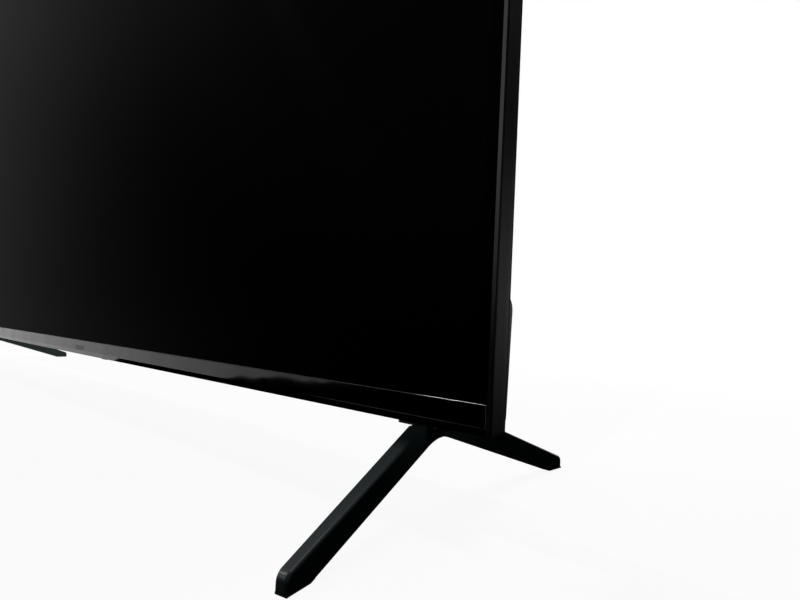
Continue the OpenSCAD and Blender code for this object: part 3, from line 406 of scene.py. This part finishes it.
# Chin and sensor window: the chin is gloss black plastic, its moulding slightly wavy, clipped in under the
# screen; the window is a dark tinted insert.
chin_gloss, tree, shader, where = new_material("chin_gloss", 0.06, specular=0.25)
shader.inputs["Base Color"].default_value = (0.0012, 0.0012, 0.0013, 1)
wave = tree.nodes.new("ShaderNodeTexNoise")
wave.inputs["Scale"].default_value = 26
wave.inputs["Detail"].default_value = 1
tree.links.new(where, wave.inputs["Vector"])
emboss(tree, shader, wave.outputs["Fac"], 0.0006)
haze = tree.nodes.new("ShaderNodeTexNoise")
haze.inputs["Scale"].default_value = 90
haze.inputs["Detail"].default_value = 5
tree.links.new(where, haze.inputs["Vector"])
film = tree.nodes.new("ShaderNodeMapRange")
film.inputs["To Min"].default_value = 0.03
film.inputs["To Max"].default_value = 0.10
tree.links.new(haze.outputs["Fac"], film.inputs["Value"])
tree.links.new(film.outputs["Result"], shader.inputs["Roughness"])
chin = soft_copy("bottom_trim", "chin_eased", [(0.00045, 3, 1, None)], sharp=12)
chin.data.materials.append(chin_gloss)
chin.data.materials.append(grained("chin_crease", (0.0012, 0.0012, 0.0012), (0.002, 0.002, 0.002), 900,
                                   (0.08, 0.16), 0.000003, specular=1.0))
chin.data.materials.append(grained("chin_crest", (0.002, 0.002, 0.002), (0.004, 0.004, 0.004), 900,
                                   (0.22, 0.3), 0.000003, specular=0.6))
chin_low, chin_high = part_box("bottom_trim")
rounding = 0.0007
for face in chin.data.polygons:
    if (face.normal.y < -0.1 and face.normal.z > 0.1 and face.center.z > chin_high.z - rounding
            and face.center.y < chin_low.y + rounding):
        face.material_index = 2
paint(grained("window_tint", (0.004, 0.0015, 0.002), (0.006, 0.002, 0.003), 300, (0.05, 0.09), 0.000003,
              specular=0.1), "ir_window")

# Rear cover: black moulded plastic with a fine even grain, held to the tray by screws. Its seam edge and its
# band's ends are rounded. The band's ends are painted paler as a painted highlight, and along the back of its
# side wall a narrow paler strip is a painted highlight and the last strip at the edge a dark painted shade
# line.
cover_plastic = grained("cover_plastic", (0.011, 0.011, 0.0108), (0.0165, 0.0165, 0.016), 2600, (0.5, 0.65),
                        0.00005, specular=0.03)
# Dark painted shade line for the last strip along the side wall's back edge, where the rounded edge turns
# away from the light.
painted_edge_shade = grained("cover_painted_edge_shade", (0.003, 0.003, 0.003), (0.005, 0.005, 0.005), 2600, (0.6, 0.75),
                    0.00003, specular=0.03)
# Paler painted highlight on the band's end faces and their rounding, standing for light caught by the rounded
# end.
painted_band_highlight = grained("cover_painted_band_highlight", (0.036, 0.036, 0.035), (0.052, 0.052, 0.050), 2600, (0.4, 0.55), 0.00003,
                    specular=0.1)
# Paler painted highlight on a narrow strip just in front of the side wall's back edge.
painted_back_highlight = grained("cover_painted_back_highlight", (0.015, 0.015, 0.0147), (0.022, 0.022, 0.0215), 2600, (0.5, 0.65), 0.00005,
                 specular=0.03)
cover_low, cover_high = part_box("rear_cover")
step_back = -0.0096
band_end = 0.5395


def on_seam(edge):
    """Outer edge of the cover's front, along the seam with the rim."""
    return all(abs(v.co.y - cover_low.y) < near and on_outline(v, cover_low, cover_high) for v in edge.verts)


def on_band(edge):
    """Edge round an end of the bottom band."""
    return all(abs(abs(v.co.x) - band_end) < near and v.co.y > step_back + 0.001 for v in edge.verts)


def on_wall(face, front):
    """Face of the outer side wall, no further forward than a given depth."""
    return all(on_outline(v, cover_low, cover_high) and front < v.co.y < step_back + near for v in face.verts)


# The rounding round the band's ends takes slot 1, the paler painted highlight.
cover = soft_copy("rear_cover", "cover_eased",
                  [(0.0006, 2, 1, on_band), (0.00035, 2, 0, on_seam)])
for finish in (cover_plastic, painted_band_highlight, painted_edge_shade, painted_back_highlight):
    cover.data.materials.append(finish)
bm = bmesh.new()
bm.from_mesh(cover.data)
# Strips along the back of the side wall: from 4.2 mm to 1.1 mm short of the edge a paler painted highlight
# (slot 3), and the last 1.1 mm a dark painted shade line (slot 2).
for back, finish in ((0.0042, 3), (0.0011, 2)):
    wall = [face for face in bm.faces if on_wall(face, -math.inf)]
    parts = set(wall)
    for face in wall:
        parts.update(face.edges, face.verts)
    bmesh.ops.bisect_plane(bm, geom=list(parts), plane_co=(0, step_back - back, 0), plane_no=(0, 1, 0))
    for face in bm.faces:
        if on_wall(face, step_back - back - near):
            face.material_index = finish
# The band's end faces take slot 1, the paler painted highlight.
for face in bm.faces:
    if all(abs(abs(v.co.x) - band_end) < near and v.co.y > step_back for v in face.verts):
        face.material_index = 1
bm.to_mesh(cover.data)
bm.free()

# Screws and wall-mount posts: black zinc-plated screws with cross recesses, and turned steel posts that are
# riveted to the tray and come out flush with the cover.
black_zinc = brushed("black_zinc", (0.03, 0.03, 0.032), (0.06, 0.06, 0.064), (900, 900, 900), (0.3, 0.45),
                     0.00001, metallic=0.8)
for node, slot, finish in (("cover_screws", "screw_steel", black_zinc),
                           ("foot_screws", "screw_steel", black_zinc),
                           ("vesa_posts", "bare_steel", turned_steel)):
    soft_copy(node, node + "_eased", [(0.00012, 2, 0, None)]).data.materials.append(finish)

# Sockets, inlet and push button: nickel-plated shells and black mouldings in the terminal plate and the
# cover, and a black button in the chin's shelf, all with their edges just broken.
nickel_plate = brushed("nickel_plate", (0.42, 0.42, 0.41), (0.56, 0.56, 0.55), (900, 900, 60), (0.2, 0.35),
                       0.000005)
for finish, slot, members in (
        (nickel_plate, "socket_steel", ("hdmi_sockets", "usb_sockets", "lan_socket", "antenna_socket")),
        (black_plastic, "black_plastic", ("audio_jack", "mains_inlet", "power_button"))):
    for node in members:
        soft_copy(node, node + "_eased", [(0.00015, 2, 0, None)]).data.materials.append(finish)

# Feet and sole pads: cast metal legs with a satin dark grey coat of a slightly green cast and eased edges,
# each plugged into its bracket and held by two screws, on rubber pads.
foot_coat = grained("foot_coat", (0.0085, 0.0135, 0.0132), (0.0125, 0.0185, 0.018), 1800, (0.3, 0.42),
                    0.00002, specular=0.2)
foot_edge = grained("foot_edge", (0.0085, 0.0130, 0.0128), (0.0120, 0.0178, 0.0175), 1800, (0.32, 0.44),
                    0.00001, specular=0.1)
flange_end = 0.0252
flange_low = 0.0468


def on_leg(edge):
    """Edge of a leg, clear of the flange."""
    return all(abs(v.co.y) > flange_end or v.co.z < flange_low for v in edge.verts)


def on_outer_edge(edge):
    """Upper edge of a leg on the side away from the middle of the set."""
    outward = 1 if edge.verts[0].co.x > 0 else -1
    lean = sorted(face.normal.x * outward for face in edge.link_faces)
    rise = min(face.normal.z for face in edge.link_faces)
    return on_leg(edge) and lean[1] > 0.7 and lean[0] < 0.5 and rise > -0.1


for side in ("left", "right"):
    foot = soft_copy("foot_" + side, "foot_%s_eased" % side,
                     [(0.0018, 5, 1, on_outer_edge), (0.0003, 2, 0, on_leg)], clamp=False)
    foot.data.materials.append(foot_coat)
    foot.data.materials.append(foot_edge)
paint(grained("sole_rubber", (0.004, 0.004, 0.004), (0.008, 0.008, 0.008), 1500, (0.7, 0.85), 0.00005,
              specular=0.1), "foot_pads")

# Studio: a plain white floor that keeps a faint shadow, white surroundings, soft boxes above, behind and on
# the left, spots for the rim, the wall, the foot, the chin's crest and the sides that the photograph doesn't
# show, and black cards that keep the floor out of the gloss.


def seen_directly(tree):
    """1 for what is seen, straight, in a gloss or through glass, and 0 for what only lights the set."""
    paths = tree.nodes.new("ShaderNodeLightPath")
    shown = paths.outputs["Is Camera Ray"]
    for ray in ("Is Glossy Ray", "Is Transmission Ray"):
        either = tree.nodes.new("ShaderNodeMath")
        either.operation = "MAXIMUM"
        tree.links.new(shown, either.inputs[0])
        tree.links.new(paths.outputs[ray], either.inputs[1])
        shown = either.outputs["Value"]
    return shown


floor_mesh = bpy.data.meshes.new("floor")
bm = bmesh.new()
bmesh.ops.create_grid(bm, x_segments=1, y_segments=1, size=30)
bm.to_mesh(floor_mesh)
bm.free()
floor = add_object("floor", floor_mesh)
pale = bpy.data.materials.new("pale_floor")
pale.use_nodes = True
tree = pale.node_tree
tree.nodes.clear()
glow = tree.nodes.new("ShaderNodeEmission")
tree.links.new(seen_directly(tree), glow.inputs["Strength"])
reach = tree.nodes.new("ShaderNodeVectorMath")
reach.operation = "LENGTH"
tree.links.new(tree.nodes.new("ShaderNodeTexCoord").outputs["Object"], reach.inputs[0])
fade = tree.nodes.new("ShaderNodeMapRange")
fade.interpolation_type = "SMOOTHSTEP"
fade.inputs["From Min"].default_value = 0.7
fade.inputs["From Max"].default_value = 2.2
fade.inputs["To Min"].default_value = 0.93
fade.inputs["To Max"].default_value = 1
tree.links.new(reach.outputs["Value"], fade.inputs["Value"])
tree.links.new(fade.outputs["Result"], glow.inputs["Color"])
matt = tree.nodes.new("ShaderNodeBsdfDiffuse")
matt.inputs["Color"].default_value = (0.04, 0.04, 0.04, 1)
both = tree.nodes.new("ShaderNodeAddShader")
tree.links.new(glow.outputs["Emission"], both.inputs[0])
tree.links.new(matt.outputs["BSDF"], both.inputs[1])
end = tree.nodes.new("ShaderNodeOutputMaterial")
tree.links.new(both.outputs["Shader"], end.inputs["Surface"])
floor_mesh.materials.append(pale)

world = bpy.data.worlds.new("surroundings")
bpy.context.scene.world = world
world.use_nodes = True
tree = world.node_tree
tree.nodes.clear()
strength = tree.nodes.new("ShaderNodeMapRange")
strength.inputs["To Min"].default_value = 0.012
strength.inputs["To Max"].default_value = 1
tree.links.new(seen_directly(tree), strength.inputs["Value"])
sky = tree.nodes.new("ShaderNodeBackground")
sky.inputs["Color"].default_value = (1, 1, 1, 1)
tree.links.new(strength.outputs["Result"], sky.inputs["Strength"])
end = tree.nodes.new("ShaderNodeOutputWorld")
tree.links.new(sky.outputs["Background"], end.inputs["Surface"])


def lamp(name, kind, place, target, power, size, spread=None, softness=None):
    """Area or spot lamp turned towards a point."""
    data = bpy.data.lights.new(name, kind)
    data.energy = power
    if kind == "AREA":
        data.shape = "RECTANGLE"
        data.size, data.size_y = size
    else:
        data.shadow_soft_size = size
        data.spot_size = math.radians(spread)
        data.spot_blend = softness
    made = add_object(name, data)
    made.location = place
    made.rotation_mode = "QUATERNION"
    made.rotation_quaternion = (Vector(target) - Vector(place)).to_track_quat("-Z", "Y")


foot_tip = (0.529, -0.133, 0.006)
lamp("top_strip", "AREA", (0.24, 0.016, 1.9), (0.24, 0.016, 0.0), 20, (0.8, 0.02))
lamp("front_spot", "SPOT", (0.66, -0.90, 0.75), (0.556, -0.025, 0.565), 50, 0.015, 50.8, 0.39)
lamp("side_spot", "SPOT", (1.2, 0.0, 0.25), (0.556, -0.01, 0.125), 21, 0.04, 12.5, 1.0)
lamp("tip_spot", "SPOT", (-0.088, -0.773, 0.811), foot_tip, 25, 0.05, 6, 1.0)
lamp("tip_low_spot", "SPOT", (-0.033, -1.10, 0.44), foot_tip, 10, 0.05, 6, 1.0)
lamp("edge_spot", "SPOT", (-0.10, -0.07, 1.02), (0.541, -0.025, 0.0655), 28, 0.004, 3.0, 0.6)
lamp("left_front_spot", "SPOT", (-0.7, -1.6, 1.0), (-0.5, -0.025, 0.35), 120, 0.1, 30, 0.5)
lamp("socket_spot", "SPOT", (1.6, 1.0, 0.6), (0.29, 0.04, 0.33), 45, 0.03, 13, 1.0)
lamp("back_softbox", "AREA", (0.1, 1.5, 1.1), (0, 0, 0.35), 25, (0.8, 0.9))
lamp("left_softbox", "AREA", (-1.8, 0.5, 0.9), (-0.5, 0, 0.3), 12, (0.8, 0.8))


def flag(name, corners):
    """Black card that only glossy surfaces see, to keep a bright floor or wall out of a gloss panel."""
    mesh = bpy.data.meshes.new(name)
    bm = bmesh.new()
    bm.faces.new([bm.verts.new(corner) for corner in corners])
    bm.to_mesh(mesh)
    bm.free()
    card = add_object(name, mesh)
    for ray in ("camera", "diffuse", "transmission", "volume_scatter", "shadow"):
        setattr(card, "visible_" + ray, False)
    black = bpy.data.materials.new(name)
    black.use_nodes = True
    black.node_tree.nodes.clear()
    none = black.node_tree.nodes.new("ShaderNodeEmission")
    none.inputs["Strength"].default_value = 0
    end = black.node_tree.nodes.new("ShaderNodeOutputMaterial")
    black.node_tree.links.new(none.outputs["Emission"], end.inputs["Surface"])
    mesh.materials.append(black)


above_floor = 0.0005
for name, outline in (
        ("near_flag", [(-0.06, -0.03), (-0.06, -0.12), (0.75, -0.12), (0.75, -0.03)]),
        ("left_flag", [(-0.06, -0.12), (-0.06, -0.20), (0.28, -0.20), (0.28, -0.12)]),
        ("right_flag", [(0.47, -0.12), (0.47, -0.20), (0.75, -0.20), (0.75, -0.12)]),
        ("far_flag", [(-0.06, -0.20), (-0.06, -0.33), (0.03, -0.42), (0.10, -0.9), (0.75, -0.9),
                      (0.75, -0.20)]),
        ("foot_flag", [(0.40, -0.03), (1.8, -0.03), (1.8, 1.2), (0.40, 1.2)])):
    flag(name, [(x, y, above_floor) for x, y in outline])
card_height = 1.3
for name, (x0, y0), (x1, y1) in (("front_flag", (-3, -0.9), (1.2, -0.9)),
                                 ("side_flag", (1.8, -0.45), (1.8, 1.2)),
                                 ("back_flag", (1.8, 1.2), (0.62, 1.2))):
    flag(name, [(x0, y0, 0.0), (x1, y1, 0.0), (x1, y1, card_height), (x0, y0, card_height)])
bpy.context.scene.view_settings.view_transform = "Standard"
